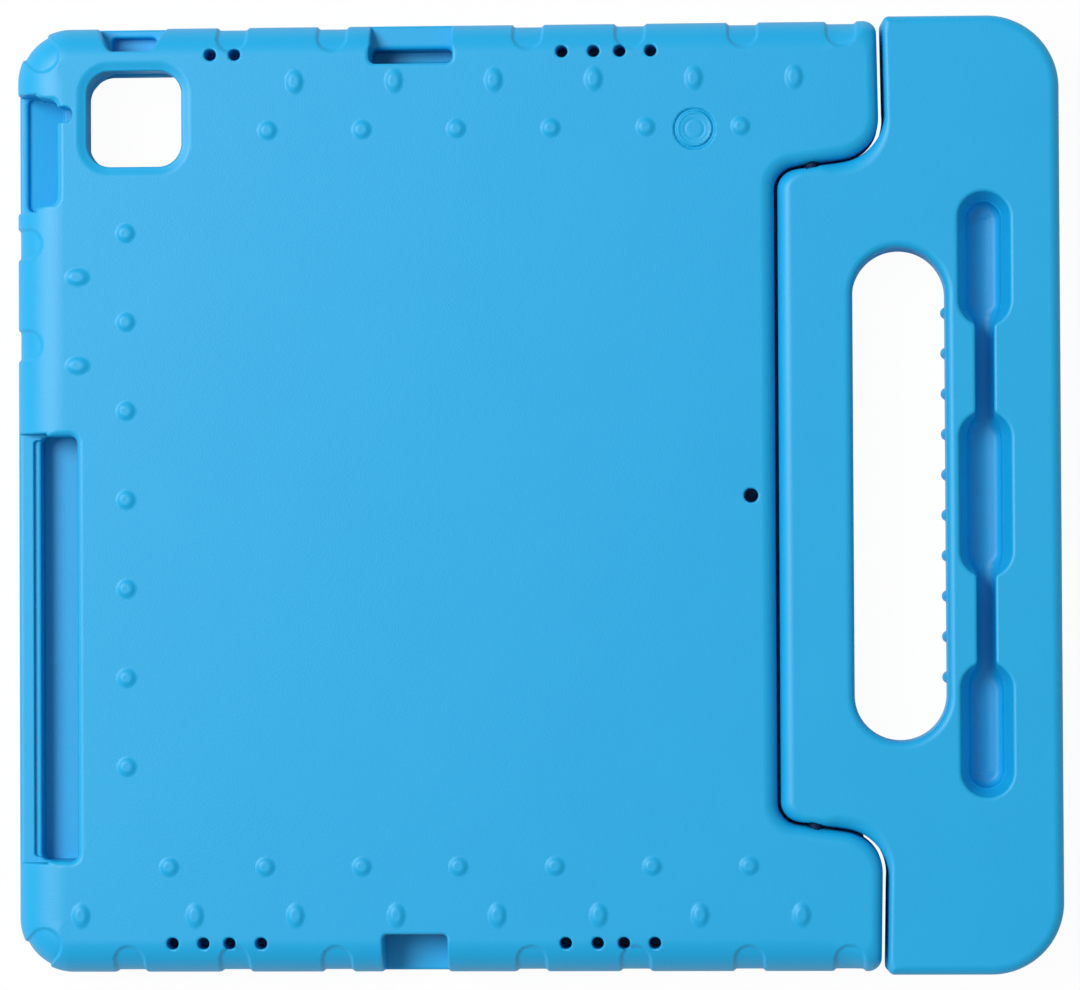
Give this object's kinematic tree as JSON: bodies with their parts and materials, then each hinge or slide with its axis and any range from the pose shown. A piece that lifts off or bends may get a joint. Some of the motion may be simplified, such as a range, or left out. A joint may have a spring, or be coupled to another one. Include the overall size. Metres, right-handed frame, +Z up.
{
  "type": "kids tablet case",
  "caption": "Blue foam tablet case for children with a hinged carry handle that folds back as a stand.",
  "frame": {"origin": "centre of the bottom of the bounding box, with the case lying screen side down", "axes": "+Z up out of the back of the case, +X from the case towards the handle, +Y towards the edge with the power button"},
  "size_m": [0.336, 0.3064, 0.023],
  "materials": {
    "blue_foam": "matte moulded foam with a fine grain",
    "hinge_plastic": "satin"
  },
  "bodies": {
    "case": {"case_shell": "blue_foam", "hinge_pin_upper": "hinge_plastic", "hinge_pin_lower": "hinge_plastic"},
    "handle": {"carry_handle": "blue_foam", "hinge_sleeve_upper": "hinge_plastic", "hinge_sleeve_lower": "hinge_plastic"}
  },
  "joints": [
    {"name": "handle_hinge", "type": "hinge", "parent": "case", "child": "handle", "pos_m": [0.08895, 0, 0.0165], "axis": [0, -1, 0], "range_deg": [0, 120]}
  ]
}
